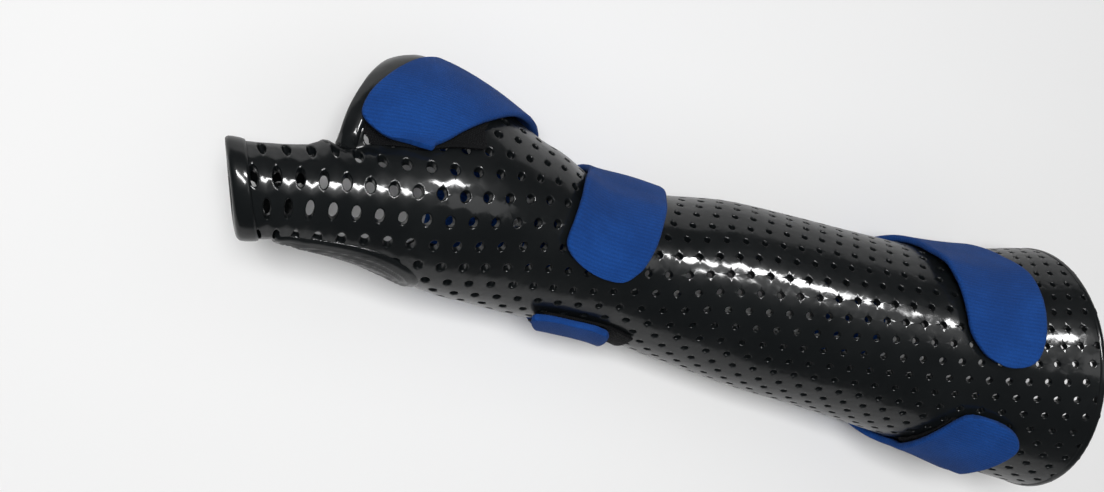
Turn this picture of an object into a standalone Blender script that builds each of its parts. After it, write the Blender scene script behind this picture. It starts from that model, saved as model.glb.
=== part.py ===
"""Thermoplastic thumb and wrist splint for a right hand, closed by three loop straps.

Frame: +X runs to the elbow, +Y to the back of the hand, +Z to the thumb side.
The splint lies on its open side, on the straps, which are flat where they rest on z = 0.
"""
import math

import bmesh
import bpy
import numpy as np

MM = 0.001

# Driving sizes, millimetres
LENGTH = 257.0            # thumb mouth to elbow end
WRIST_THICK = 43.0        # palm side to back at the wrist
WALL = 2.4                # thermoplastic sheet
STRAP_WIDTH = 25.5
HAND_STRAP_WIDTH = 30.5   # this one crosses at a slant, so it is wider along x
STRAP_THICK = 2.0         # foam with loop cloth on both faces
HOOK_THICK = 0.8          # self-adhesive hook tape
CLEAR = 0.3               # gap between pieces that touch
ON_HOOK = CLEAR + HOOK_THICK + CLEAR
TUBE_RIM_STEP = 0.9       # the folded band at the thumb mouth stands out by this
TUBE_RIM_FROM = -96.5     # and starts here
TUBE_RIM_FULL = -97.1
BACK_ROLL = 1.2           # rolled edge of the flap over the back of the hand
PALM_ROLL = 0.7           # rolled edge of the flap in the palm
ROLL_SETBACK = 3.0
ROLL_SPREAD = 2.2
TUBE_MOUTH_SLANT = 0.36   # the mouth leans, longer on the back of the thumb
ELBOW_SLANT = 0.20        # the elbow end leans, longer on the palm side
BLEND = 3.0               # softness where thumb and hand forms meet
CREASE = 0.05             # softness left where that blend has faded
NEAR = 0.5                # step along the form that its slope is taken over
LIFTED_FROM = 0.3         # share of the strap's width past which its edge can stand off
MIDDLE = (21.7, -6.7)     # x and y of the part's middle in the frame of the tables below

# The tables give the form of a part with this length and wrist, and are stretched to the sizes above
TABLE_LENGTH = 257.0
TABLE_WRIST = 43.0
LONG = LENGTH / TABLE_LENGTH
GIRTH = WRIST_THICK / TABLE_WRIST

# Outer form along the thumb and the forearm: x, centre y, half width y, half height z, top z
ARM = [
    (-107.0, -18.9, 11.7, 11.8, 67.0),
    (-96.0, -17.1, 11.8, 11.9, 67.2),
    (-86.0, -15.4, 12.2, 12.5, 67.6),
    (-77.0, -13.9, 13.3, 13.9, 68.0),
    (-66.0, -11.8, 16.2, 17.6, 68.2),
    (-54.0, -9.6, 20.4, 22.4, 67.8),
    (-42.0, -8.2, 23.4, 26.4, 66.4),
    (-30.0, -7.6, 24.4, 29.2, 64.4),
    (-18.0, -8.0, 24.4, 30.4, 62.0),
    (-5.0, -9.8, 21.7, 30.4, 59.6),
    (8.0, -9.9, 21.5, 30.0, 58.5),
    (20.0, -10.3, 23.1, 30.2, 58.9),
    (36.0, -9.5, 25.5, 31.1, 60.7),
    (55.0, -9.7, 26.9, 32.4, 63.3),
    (75.0, -9.7, 27.5, 34.0, 66.5),
    (95.0, -9.8, 28.6, 35.7, 69.9),
    (112.0, -9.3, 30.5, 37.4, 73.3),
    (128.0, -8.5, 33.7, 39.0, 76.5),
    (145.0, -7.4, 35.8, 40.6, 79.7),
    (170.0, -7.3, 36.7, 41.8, 82.1),
]

# Outer form round the hand itself: x, centre y, half width y, half height z, top z
HAND = [
    (-90.0, -0.6, 24.6, 28.0, 55.4),
    (-77.0, 0.0, 26.6, 29.6, 57.8),
    (-66.0, 0.6, 28.2, 30.4, 59.4),
    (-54.0, 0.4, 28.0, 30.8, 60.0),
    (-42.0, -0.9, 26.3, 30.8, 59.8),
    (-30.0, -3.2, 23.9, 30.6, 59.4),
    (-18.0, -6.0, 22.0, 29.6, 58.0),
    (-10.0, -7.4, 20.6, 28.6, 56.6),
]
HAND_END = -14.0          # past here only the forearm form counts

# Free edges on the open side: x, height of the edge on the back, height on the palm side
EDGES = [
    (-90.0, 22.0, 14.0),
    (-60.0, 21.0, 11.0),
    (-40.0, 21.0, 9.0),
    (-10.0, 24.0, 11.0),
    (16.0, 24.0, 13.0),
    (60.0, 23.0, 15.0),
    (110.0, 22.0, 17.0),
    (170.0, 22.0, 19.0),
]

# Where flaps leave the thumb tube: angle from the thumb side, degrees
SPLIT_PALM = -96.0
SPLIT_BACK = 68.0

# Sheet rows from the palm to the thumb mouth: x on the palm split, x on the back split
HAND_ROWS = [
    (-40.0, -40.0),
    (-48.0, -46.0),
    (-57.0, -53.0),
    (-66.0, -60.0),
    (-74.0, -67.0),
    (-79.0, -71.5),
    (-83.0, -74.5),
    (-86.0, -77.0),
]
TUBE_ROWS = [
    (-88.0, -82.0),
    (-90.0, -86.5),
    (-92.0, -90.5),
    (-94.0, -94.0),
    (-96.0, -96.6),
    (-96.4, -97.2),
    (-98.8, -99.8),
    (-101.2, -102.2),
]
ARM_ROWS = [-33.0, -26.0, -19.0, -12.0, -5.0, 2.0, 10.0, 19.0, 29.0, 40.0, 52.0, 64.0, 76.0,
            88.0, 99.0, 110.0, 119.0, 127.5, 135.5, 143.0]

# Distal edge of the back flap and of the palm flap, from the thumb to the free edge: share, x
BACK_FLAP_EDGE = [(0.0, -77.0), (0.15, -79.0), (0.35, -78.0), (0.6, -72.0), (0.8, -64.0),
                  (1.0, -58.0)]
PALM_FLAP_EDGE = [(0.0, -86.0), (0.25, -77.0), (0.5, -66.0), (0.75, -55.0), (1.0, -46.0)]

PALM_COLUMNS = 9
FRONT_COLUMNS = 15
BACK_COLUMNS = 11
TUBE_BACK_COLUMNS = 14


def smooth(edge0, edge1, value):
    """Ease from 0 at edge0 to 1 at edge1."""
    share = min(1.0, max(0.0, (value - edge0) / (edge1 - edge0)))
    return share * share * (3.0 - 2.0 * share)


def along(table, x):
    """Read a table of rows at x, smoothly between its rows."""
    keys = [row[0] for row in table]
    if x <= keys[0]:
        return np.array(table[0][1:], float)
    if x >= keys[-1]:
        return np.array(table[-1][1:], float)
    i = int(np.searchsorted(keys, x)) - 1
    i = min(max(i, 0), len(keys) - 2)
    rows = [np.array(table[min(max(k, 0), len(keys) - 1)], float) for k in range(i - 1, i + 3)]
    span = rows[2][0] - rows[1][0]
    t = (x - rows[1][0]) / span
    slope1 = (rows[2] - rows[0])[1:] / max(rows[2][0] - rows[0][0], 1e-6) * span
    slope2 = (rows[3] - rows[1])[1:] / max(rows[3][0] - rows[1][0], 1e-6) * span
    p1 = rows[1][1:]
    p2 = rows[2][1:]
    return ((2 * t**3 - 3 * t**2 + 1) * p1 + (t**3 - 2 * t**2 + t) * slope1
            + (-2 * t**3 + 3 * t**2) * p2 + (t**3 - t**2) * slope2)


def oval(table, x):
    """Centre y, centre z, half width and half height of an oval form at x."""
    centre_y, half_y, half_z, top = along(table, x)
    return centre_y, top - half_z, half_y, half_z


def reach(centre, direction, form):
    """Distance from a point inside an oval to its outline."""
    centre_y, centre_z, half_y, half_z = form
    py = (centre[0] - centre_y) / half_y
    pz = (centre[1] - centre_z) / half_z
    dy = direction[0] / half_y
    dz = direction[1] / half_z
    a = dy * dy + dz * dz
    b = py * dy + pz * dz
    c = py * py + pz * pz - 1.0
    return (-b + math.sqrt(max(b * b - a * c, 0.0))) / a


def spine(x):
    """The point inside the form that its outline at x is measured from."""
    centre_y, centre_z, _, _ = oval(ARM, x)
    return centre_y, centre_z


def outline(x, angle, tube=False):
    """Outer point of the form at x, at an angle from the thumb side toward the back."""
    arm = oval(ARM, x)
    centre = (arm[0], arm[1])
    direction = (math.sin(angle), math.cos(angle))
    arm_reach = reach(centre, direction, arm)
    if tube or x >= HAND_END:
        return centre[0] + arm_reach * direction[0], centre[1] + arm_reach * direction[1]
    hand_reach = reach(centre, direction, oval(HAND, x))
    softness = BLEND * smooth(HAND_END, -40.0, x) * smooth(-77.0, -62.0, x) + CREASE
    gap = arm_reach - hand_reach
    both = 0.5 * (arm_reach + hand_reach + math.sqrt(gap * gap + softness * softness))
    return centre[0] + both * direction[0], centre[1] + both * direction[1]


def edge_angle(x, height, side):
    """Angle at which the outline at x comes down to a height, on the back (+1) or palm (-1)."""
    angles = np.radians(np.linspace(60.0, 175.0, 120))
    heights = [outline(x, side * a)[1] for a in angles]
    return side * float(np.interp(-height, [-h for h in heights], angles))


def placed(x, point):
    """A point of the tables' section at x, at the part's own length and girth."""
    return np.array([x * LONG, point[0] * GIRTH, point[1] * GIRTH])


def surface(x, angle, lift=0.0, tube=False):
    """Point on the outer form, lifted off along its normal, in millimetres."""
    here = placed(x, outline(x, angle, tube))
    turn = NEAR / WRIST_THICK
    around = placed(x, outline(x, angle + turn, tube)) - placed(x, outline(x, angle - turn, tube))
    ahead = placed(x + NEAR, outline(x + NEAR, angle, tube))
    behind = placed(x - NEAR, outline(x - NEAR, angle, tube))
    normal = np.cross(ahead - behind, around)
    normal /= np.linalg.norm(normal)
    outward = here - placed(x, spine(x))
    if np.dot(normal, outward) < 0.0:
        normal = -normal
    return here + lift * normal


def slanted(point):
    """Lean the thumb mouth and the elbow end."""
    x = point[0] / LONG
    off = point[1] - spine(x)[0] * GIRTH
    lean = TUBE_MOUTH_SLANT * smooth(-80.0, -103.0, x) + ELBOW_SLANT * smooth(110.0, 145.0, x)
    return point - np.array([lean * off, 0.0, 0.0])


def material(name, colour, roughness, metallic=0.0):
    """A plain Principled material."""
    made = bpy.data.materials.new(name)
    made.use_nodes = True
    shader = made.node_tree.nodes["Principled BSDF"]
    shader.inputs["Base Color"].default_value = (*colour, 1.0)
    shader.inputs["Roughness"].default_value = roughness
    shader.inputs["Metallic"].default_value = metallic
    return made


def finish(bm, name, look):
    """Turn a bmesh into a named object with one material, moved over the origin."""
    shift = (-MIDDLE[0] * LONG * MM, -MIDDLE[1] * GIRTH * MM, 0.0)
    bmesh.ops.translate(bm, verts=bm.verts, vec=shift)
    bmesh.ops.recalc_face_normals(bm, faces=bm.faces)
    mesh = bpy.data.meshes.new(name)
    bm.to_mesh(mesh)
    bm.free()
    mesh.materials.append(look)
    mesh.shade_smooth()
    made = bpy.data.objects.new(name, mesh)
    bpy.context.collection.objects.link(made)
    return made


def share_table(table, share):
    """Straight reading of a two-column table."""
    return float(np.interp(share, [row[0] for row in table], [row[1] for row in table]))


def rolled(height, distance):
    """How far a rolled edge stands out at a distance from the edge."""
    return height * math.exp(-(((distance - ROLL_SETBACK) / ROLL_SPREAD) ** 2))


def build_sheet(look):
    """The thermoplastic sheet: forearm trough, thumb tube and the two hand flaps."""
    bm = bmesh.new()
    split_palm = math.radians(SPLIT_PALM)
    split_back = math.radians(SPLIT_BACK)

    def put(x, angle, lift=0.0, tube=False):
        return bm.verts.new(slanted(surface(x, angle, lift, tube)) * MM)

    def angles_at(x):
        heights = along(EDGES, x)
        back = edge_angle(x, heights[0], 1.0)
        palm = edge_angle(x, heights[1], -1.0)
        return palm, back

    def full_row(x):
        palm, back = angles_at(x)
        row = [palm + (split_palm - palm) * i / PALM_COLUMNS for i in range(PALM_COLUMNS)]
        row += [split_palm + (split_back - split_palm) * i / FRONT_COLUMNS
                for i in range(FRONT_COLUMNS)]
        row += [split_back + (back - split_back) * i / BACK_COLUMNS
                for i in range(BACK_COLUMNS + 1)]
        return [put(x, angle) for angle in row]

    # forearm, from the elbow end to the start of the hand rows
    rows = [full_row(x) for x in reversed(ARM_ROWS)]

    # hand rows: each part of the row runs toward its own edge
    start = HAND_ROWS[0]
    last = HAND_ROWS[-1]
    for palm_x, back_x in HAND_ROWS:
        row = []
        share_palm = (palm_x - start[0]) / (last[0] - start[0])
        share_back = (back_x - start[1]) / (last[1] - start[1])
        for i in range(PALM_COLUMNS):
            t = 1.0 - i / PALM_COLUMNS
            edge = share_table(PALM_FLAP_EDGE, t)
            x = start[0] + (edge - start[0]) * share_palm
            palm, _ = angles_at(x)
            angle = split_palm + (palm - split_palm) * t
            lift = rolled(PALM_ROLL, x - edge) * smooth(0.0, 0.12, t) * smooth(0.9, 0.6, t)
            row.append(put(x, angle, lift))
        for i in range(FRONT_COLUMNS):
            t = i / FRONT_COLUMNS
            x = palm_x + (back_x - palm_x) * t
            row.append(put(x, split_palm + (split_back - split_palm) * t))
        for i in range(BACK_COLUMNS + 1):
            t = i / BACK_COLUMNS
            edge = share_table(BACK_FLAP_EDGE, t)
            x = start[1] + (edge - start[1]) * share_back
            _, back = angles_at(x)
            angle = split_back + (back - split_back) * t
            lift = rolled(BACK_ROLL, x - edge) * smooth(0.0, 0.15, t)
            row.append(put(x, angle, lift))
        rows.append(row)
    for row_a, row_b in zip(rows, rows[1:]):
        for i in range(len(row_a) - 1):
            bm.faces.new((row_a[i], row_a[i + 1], row_b[i + 1], row_b[i]))

    # thumb tube: front carried on from the last hand row, closed by its own back wall
    def lift_at(x):
        return TUBE_RIM_STEP * smooth(TUBE_RIM_FROM, TUBE_RIM_FULL, x)

    front = rows[-1][PALM_COLUMNS:PALM_COLUMNS + FRONT_COLUMNS + 1]
    behind = []
    for i in range(1, TUBE_BACK_COLUMNS):
        t = i / TUBE_BACK_COLUMNS
        x = last[1] + (last[0] - last[1]) * t
        angle = split_back + (2.0 * math.pi + split_palm - split_back) * t
        behind.append(put(x, angle, 0.0, True))
    ring = front + behind
    count = len(ring)
    for palm_x, back_x in TUBE_ROWS:
        fresh = []
        for i in range(FRONT_COLUMNS + 1):
            t = i / FRONT_COLUMNS
            x = palm_x + (back_x - palm_x) * t
            fresh.append(put(x, split_palm + (split_back - split_palm) * t, lift_at(x), True))
        for i in range(1, TUBE_BACK_COLUMNS):
            t = i / TUBE_BACK_COLUMNS
            x = back_x + (palm_x - back_x) * t
            angle = split_back + (2.0 * math.pi + split_palm - split_back) * t
            fresh.append(put(x, angle, lift_at(x), True))
        for i in range(count):
            j = (i + 1) % count
            bm.faces.new((ring[i], ring[j], fresh[j], fresh[i]))
        ring = fresh

    sheet = finish(bm, "shell", look)
    wall = sheet.modifiers.new("Wall", "SOLIDIFY")
    wall.thickness = WALL * MM
    wall.offset = -1.0
    wall.use_even_offset = True
    return sheet


def strap_point(kind, x, turn, lift):
    """Point on the closed form a strap follows; turn is the angle about the form's own middle."""
    form = oval(HAND, x) if kind == "hand" else oval(ARM, x)
    centre_y, centre_z, half_y, half_z = form
    y = centre_y + half_y * math.sin(turn)
    z = centre_z + half_z * math.cos(turn)
    middle = spine(x)
    angle = math.atan2(y - middle[0], z - middle[1])
    return surface(x, angle, lift)


def band(name, kind, path, width, thick, look, steps=50, across=6, floor=None):
    """A band laid on the form, along a path table."""
    keys = [row[0] for row in path]
    turns = np.linspace(keys[0], keys[-1], steps + 1)
    bm = bmesh.new()
    skins = []
    for layer in (0.0, thick):
        grid = []
        for turn in turns:
            middle, _, share, _ = along(path, turn)
            lift = float(np.interp(turn, keys, [row[2] for row in path]))
            tilt = float(np.interp(turn, keys, [row[4] for row in path]))
            line = []
            for j in range(across + 1):
                w = j / across - 0.5
                raised = lift + layer + tilt * max(0.0, LIFTED_FROM - w) ** 2
                x = middle + w * width * share / LONG
                point = strap_point(kind, x, math.radians(turn), raised)
                if floor is not None:
                    point[2] = max(point[2], floor + thick - layer)
                line.append(bm.verts.new(point * MM))
            grid.append(line)
        skins.append(grid)
    inner, outer = skins
    for grid in skins:
        for a, b in zip(grid, grid[1:]):
            for j in range(across):
                bm.faces.new((a[j], a[j + 1], b[j + 1], b[j]))
    for i in range(steps):
        for j in (0, across):
            bm.faces.new((inner[i][j], inner[i + 1][j], outer[i + 1][j], outer[i][j]))
    for i in (0, steps):
        for j in range(across):
            bm.faces.new((inner[i][j], inner[i][j + 1], outer[i][j + 1], outer[i][j]))
    return finish(bm, name, look)


for old in list(bpy.data.objects):
    bpy.data.objects.remove(old, do_unlink=True)

plastic = material("thermoplastic", (0.012, 0.014, 0.015), 0.18)
cloth = material("strap_cloth", (0.018, 0.075, 0.28), 0.85)
hooks = material("hook_tape", (0.012, 0.012, 0.013), 0.9)

build_sheet(plastic)

# Strap paths: turn round the form in degrees, x of the strap's middle, lift of its inner face,
# width share, extra lift of the edge toward the hand
WRIST_PATH = [
    (-12.5, -0.5, ON_HOOK, 0.20, 0.0),
    (-11.0, -1.8, ON_HOOK, 0.42, 0.0),
    (-9.0, -3.0, ON_HOOK, 0.62, 0.0),
    (-5.0, -4.0, ON_HOOK, 0.82, 0.0),
    (0.0, -4.0, ON_HOOK, 0.94, 0.0),
    (14.0, -2.6, ON_HOOK, 1.0, 0.0),
    (31.0, -1.1, ON_HOOK, 1.02, 0.0),
    (45.0, 0.2, ON_HOOK, 1.04, 0.0),
    (60.0, 2.2, CLEAR, 1.0, 0.0),
    (75.0, 3.6, CLEAR, 0.94, 0.0),
    (90.0, 4.0, CLEAR, 0.92, 0.0),
    (180.0, 1.0, CLEAR, 0.96, 0.0),
    (262.0, 2.0, CLEAR, 0.86, 0.0),
    (274.0, 1.2, ON_HOOK, 0.84, 0.0),
    (300.0, -2.8, ON_HOOK, 0.96, 0.0),
    (306.0, -3.4, ON_HOOK, 0.90, 0.0),
    (309.0, -3.4, ON_HOOK, 0.70, 0.0),
]
FOREARM_PATH = [
    (0.0, 114.2, ON_HOOK, 0.22, 0.0),
    (2.0, 114.0, ON_HOOK, 0.42, 0.0),
    (6.0, 113.6, ON_HOOK, 0.64, 0.0),
    (13.0, 112.6, ON_HOOK, 0.82, 0.0),
    (22.0, 112.0, ON_HOOK, 0.90, 1.0),
    (36.0, 110.6, ON_HOOK, 0.98, 1.8),
    (51.0, 108.4, ON_HOOK, 1.06, 2.2),
    (66.0, 105.4, CLEAR, 1.03, 0.8),
    (80.0, 103.2, CLEAR, 0.95, 0.0),
    (90.0, 102.0, CLEAR, 0.93, 0.0),
    (130.0, 100.0, CLEAR, 0.96, 0.0),
    (180.0, 102.5, CLEAR, 0.96, 0.0),
    (235.0, 108.5, CLEAR, 0.95, 0.0),
    (270.0, 113.2, CLEAR, 0.93, 0.0),
    (282.0, 114.4, ON_HOOK, 0.92, 0.5),
    (294.0, 114.3, ON_HOOK, 0.93, 1.0),
    (312.0, 116.0, ON_HOOK, 0.93, 1.0),
    (323.0, 117.5, ON_HOOK, 0.88, 0.0),
    (329.0, 117.0, ON_HOOK, 0.72, 0.0),
    (332.5, 115.8, ON_HOOK, 0.50, 0.0),
    (334.0, 115.0, ON_HOOK, 0.30, 0.0),
]
HAND_PATH = [
    (5.2, -57.7, ON_HOOK, 0.10, 0.0),
    (6.6, -59.6, ON_HOOK, 0.26, 0.0),
    (8.0, -61.0, ON_HOOK, 0.38, 0.0),
    (10.0, -62.2, ON_HOOK, 0.50, 0.0),
    (15.0, -63.0, ON_HOOK, 0.73, 0.0),
    (20.0, -62.6, ON_HOOK, 0.84, 0.0),
    (31.0, -59.6, ON_HOOK, 0.95, 0.0),
    (42.0, -55.5, ON_HOOK, 1.0, 0.0),
    (60.0, -48.8, ON_HOOK, 1.0, 0.0),
    (73.0, -43.8, CLEAR + HOOK_THICK, 1.0, 0.0),
    (90.0, -38.6, CLEAR, 1.0, 0.0),
    (120.0, -33.0, CLEAR, 0.92, 0.0),
    (180.0, -30.5, CLEAR, 0.84, 0.0),
    (212.0, -30.0, CLEAR, 0.84, 0.0),
    (222.0, -30.0, ON_HOOK, 0.84, 0.0),
    (250.0, -30.0, ON_HOOK, 0.80, 0.0),
    (254.0, -30.0, ON_HOOK, 0.60, 0.0),
]
band("hand_strap", "hand", HAND_PATH, HAND_STRAP_WIDTH, STRAP_THICK, cloth, floor=0.0)
band("wrist_strap", "arm", WRIST_PATH, STRAP_WIDTH, STRAP_THICK, cloth, floor=0.0)
band("forearm_strap", "arm", FOREARM_PATH, STRAP_WIDTH, STRAP_THICK, cloth, floor=0.0)


# Hook patches: name, form, then turn and x of the two ends of their middle line, and width
HOOKS = [
    ("hand_hook_back_side", "hand", 12.0, -59.0, 56.0, -50.0, 26.0),
    ("hand_hook_palm_side", "hand", 221.0, -30.0, 249.0, -30.0, 19.0),
    ("wrist_hook_thumb_side", "arm", -4.0, -3.5, 46.0, 0.0, 19.0),
    ("wrist_hook_palm_side", "arm", 273.0, 2.0, 305.0, 2.0, 28.0),
    ("forearm_hook_thumb_side", "arm", 8.0, 113.0, 52.0, 108.5, 19.0),
    ("forearm_hook_palm_side", "arm", 284.0, 112.3, 326.0, 116.8, 19.0),
]
for patch, form, turn_a, x_a, turn_b, x_b, breadth in HOOKS:
    line = [(turn_a, x_a, CLEAR, 1.0, 0.0), (turn_b, x_b, CLEAR, 1.0, 0.0)]
    band(patch, form, line, breadth, HOOK_THICK, hooks, steps=7, across=4)
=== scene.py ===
# %% [markdown]
# # A thumb and wrist splint, formed from one perforated sheet
#
# The real splint starts as a flat sheet of black plastic with a regular grid of holes. A pattern is
# cut from it, warmed until it is limp, laid over the arm, wrapped round the thumb and left to set.
# Blue loop straps close it over patches of hook tape.
#
# This lesson goes the same way. A perforated blank is modelled flat, trimmed to the pattern, and
# then every point of it is laid on the form that the solid model has. The holes stretch where the
# real sheet was stretched.

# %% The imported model
import math

import bmesh
import bpy
import numpy as np
from mathutils import Matrix, Vector


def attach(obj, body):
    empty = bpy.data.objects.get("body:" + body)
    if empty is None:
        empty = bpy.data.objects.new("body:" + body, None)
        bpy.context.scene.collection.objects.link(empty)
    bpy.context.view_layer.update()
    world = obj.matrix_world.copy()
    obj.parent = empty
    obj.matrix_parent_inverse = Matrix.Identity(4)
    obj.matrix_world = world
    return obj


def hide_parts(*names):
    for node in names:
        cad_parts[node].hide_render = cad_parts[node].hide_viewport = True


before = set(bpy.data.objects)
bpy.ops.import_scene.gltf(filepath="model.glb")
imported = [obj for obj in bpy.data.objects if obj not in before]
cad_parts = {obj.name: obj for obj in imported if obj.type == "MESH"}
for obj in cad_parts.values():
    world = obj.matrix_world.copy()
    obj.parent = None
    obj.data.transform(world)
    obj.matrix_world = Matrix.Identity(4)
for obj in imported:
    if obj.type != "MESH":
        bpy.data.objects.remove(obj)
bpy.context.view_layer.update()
MM = 0.001
print("nodes:", sorted(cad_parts))

# %% [markdown]
# ## The form under the sheet
#
# The solid model describes the outside of the splint by oval sections along the thumb and forearm,
# and a second row of ovals round the hand. The same short tables are kept here, in millimetres, so
# that what is draped lands exactly on the solid.

# %% Sections of the form
WALL = 2.4
MIDDLE = np.array([21.7, -6.7, 0.0])

# x, centre y, half width y, half height z, top z
ARM = np.array([
    (-107.0, -18.9, 11.7, 11.8, 67.0),
    (-96.0, -17.1, 11.8, 11.9, 67.2),
    (-86.0, -15.4, 12.2, 12.5, 67.6),
    (-77.0, -13.9, 13.3, 13.9, 68.0),
    (-66.0, -11.8, 16.2, 17.6, 68.2),
    (-54.0, -9.6, 20.4, 22.4, 67.8),
    (-42.0, -8.2, 23.4, 26.4, 66.4),
    (-30.0, -7.6, 24.4, 29.2, 64.4),
    (-18.0, -8.0, 24.4, 30.4, 62.0),
    (-5.0, -9.8, 21.7, 30.4, 59.6),
    (8.0, -9.9, 21.5, 30.0, 58.5),
    (20.0, -10.3, 23.1, 30.2, 58.9),
    (36.0, -9.5, 25.5, 31.1, 60.7),
    (55.0, -9.7, 26.9, 32.4, 63.3),
    (75.0, -9.7, 27.5, 34.0, 66.5),
    (95.0, -9.8, 28.6, 35.7, 69.9),
    (112.0, -9.3, 30.5, 37.4, 73.3),
    (128.0, -8.5, 33.7, 39.0, 76.5),
    (145.0, -7.4, 35.8, 40.6, 79.7),
    (170.0, -7.3, 36.7, 41.8, 82.1),
])
HAND = np.array([
    (-90.0, -0.6, 24.6, 28.0, 55.4),
    (-77.0, 0.0, 26.6, 29.6, 57.8),
    (-66.0, 0.6, 28.2, 30.4, 59.4),
    (-54.0, 0.4, 28.0, 30.8, 60.0),
    (-42.0, -0.9, 26.3, 30.8, 59.8),
    (-30.0, -3.2, 23.9, 30.6, 59.4),
    (-18.0, -6.0, 22.0, 29.6, 58.0),
    (-10.0, -7.4, 20.6, 28.6, 56.6),
])
HAND_END = -14.0
BLEND = 3.0
CREASE = 0.05


def smooth(edge0, edge1, value):
    """Ease from 0 at edge0 to 1 at edge1."""
    share = np.clip((value - edge0) / (edge1 - edge0), 0.0, 1.0)
    return share * share * (3.0 - 2.0 * share)


def along(table, x):
    """Read a table at many x, smoothly between its rows."""
    keys = table[:, 0]
    x = np.clip(np.atleast_1d(np.asarray(x, float)), keys[0], keys[-1])
    i = np.clip(np.searchsorted(keys, x) - 1, 0, len(keys) - 2)
    before = table[np.maximum(i - 1, 0)]
    here = table[i]
    ahead = table[i + 1]
    after = table[np.minimum(i + 2, len(keys) - 1)]
    span = (ahead - here)[:, :1]
    t = (x[:, None] - here[:, :1]) / span
    slope1 = (ahead - before)[:, 1:] / (ahead - before)[:, :1] * span
    slope2 = (after - here)[:, 1:] / (after - here)[:, :1] * span
    return ((2 * t**3 - 3 * t**2 + 1) * here[:, 1:] + (t**3 - 2 * t**2 + t) * slope1
            + (-2 * t**3 + 3 * t**2) * ahead[:, 1:] + (t**3 - t**2) * slope2)


def oval(table, x):
    """Centre y, centre z, half width and half height at many x."""
    centre_y, half_y, half_z, top = along(table, x).T
    return centre_y, top - half_z, half_y, half_z


def reach(centre, direction, form):
    """How far an oval's outline is from a point, in a direction."""
    py = (centre[0] - form[0]) / form[2]
    pz = (centre[1] - form[1]) / form[3]
    dy = direction[0] / form[2]
    dz = direction[1] / form[3]
    a = dy * dy + dz * dz
    b = py * dy + pz * dz
    c = py * py + pz * pz - 1.0
    return (-b + np.sqrt(np.maximum(b * b - a * c, 0.0))) / a


def outline(x, angle, tube):
    """Outer points of the form; angle turns from the thumb side toward the back."""
    arm = oval(ARM, x)
    direction = (np.sin(angle), np.cos(angle))
    far_arm = reach(arm[:2], direction, arm)
    far_hand = reach(arm[:2], direction, oval(HAND, x))
    softness = BLEND * smooth(HAND_END, -40.0, x) * smooth(-77.0, -62.0, x) + CREASE
    gap = far_arm - far_hand
    both = 0.5 * (far_arm + far_hand + np.sqrt(gap * gap + softness * softness))
    far = np.where(tube | (x >= HAND_END), far_arm, both)
    return np.stack([x, arm[0] + far * direction[0], arm[1] + far * direction[1]], axis=1)


NEAR = 0.5
NEAR_TURN = 0.0116


def surface(x, angle, lift, tube):
    """Points on the form, lifted along its normal, in millimetres."""
    here = outline(x, angle, tube)
    around = outline(x, angle + NEAR_TURN, tube) - outline(x, angle - NEAR_TURN, tube)
    forward = outline(x + NEAR, angle, tube) - outline(x - NEAR, angle, tube)
    normal = np.cross(forward, around)
    normal /= np.linalg.norm(normal, axis=1)[:, None]
    arm = oval(ARM, x)
    outward = here - np.stack([x, arm[0], arm[1]], axis=1)
    normal *= np.sign(np.einsum("ij,ij->i", normal, outward))[:, None]
    return here + normal * np.broadcast_to(lift, x.shape)[:, None]


TUBE_MOUTH_SLANT = 0.36
ELBOW_SLANT = 0.20


def slanted(points):
    """Lean the thumb mouth and the elbow end, and move the part over the origin."""
    x = points[:, 0]
    off = points[:, 1] - oval(ARM, x)[0]
    lean = TUBE_MOUTH_SLANT * smooth(-80.0, -103.0, x) + ELBOW_SLANT * smooth(110.0, 145.0, x)
    points = points.copy()
    points[:, 0] -= lean * off
    return points - MIDDLE


print("the form runs from x", ARM[0, 0], "to", ARM[-1, 0])

# %% [markdown]
# ## Where each hole of the flat sheet ends up
#
# On the flat sheet a hole has a place u along a row and v across the rows. The rows don't run along
# the arm: they climb slowly toward the back of the hand, and the sheet is stretched round the
# thumb. Three short tables say where the row v = 0 runs and how much the sheet is stretched.
# The other way, from the form back to the flat sheet, is needed once, to draw the pattern.

# %% From flat to formed
# x, where row 0 lies round the form from the thumb side, stretch along, stretch round, shear
LAY = np.array([
    (-112.0, 3.0, 0.93, 1.50, 0.08),
    (-97.7, 3.6, 0.93, 1.52, 0.10),
    (-87.0, 4.7, 0.95, 1.50, 0.22),
    (-76.0, 4.9, 1.04, 1.48, 0.26),
    (-65.0, 4.2, 1.09, 1.45, 0.22),
    (-58.0, 3.9, 1.11, 1.43, 0.19),
    (-46.0, 4.2, 1.11, 1.38, 0.17),
    (-34.0, 6.1, 1.06, 1.32, 0.14),
    (-17.0, 10.2, 0.98, 1.24, 0.15),
    (0.0, 13.8, 0.98, 1.14, 0.18),
    (12.0, 16.2, 1.04, 1.09, 0.185),
    (30.0, 19.8, 1.02, 1.02, 0.19),
    (60.0, 25.8, 0.99, 1.00, 0.19),
    (145.0, 42.8, 0.95, 1.00, 0.19),
    (175.0, 48.8, 0.95, 1.00, 0.19),
])
# across the rows of the flat sheet, how much further round the thumb they were pulled
PULLED_ROUND = np.array([(-10.2, -2.4), (-5.1, -0.15), (0.0, 0.0), (5.1, 2.2), (10.2, 2.2)])
FIRST_HOLE = -96.8
SPLIT_PALM = math.radians(-96.0)
SPLIT_BACK = math.radians(68.0)
SEAM_BACK = math.radians(166.0)
SEAM_PALM = SEAM_BACK - 2.0 * math.pi

stations = np.arange(-112.0, 175.01, 1.0)
turns = np.radians(np.arange(-200.0, 200.01, 1.0))
stretch_along = np.interp(stations, LAY[:, 0], LAY[:, 2])
flat_u = np.concatenate([[0.0], np.cumsum(1.0 / (0.5 * (stretch_along[1:] + stretch_along[:-1])))])
flat_u -= np.interp(FIRST_HOLE, stations, flat_u)


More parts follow.
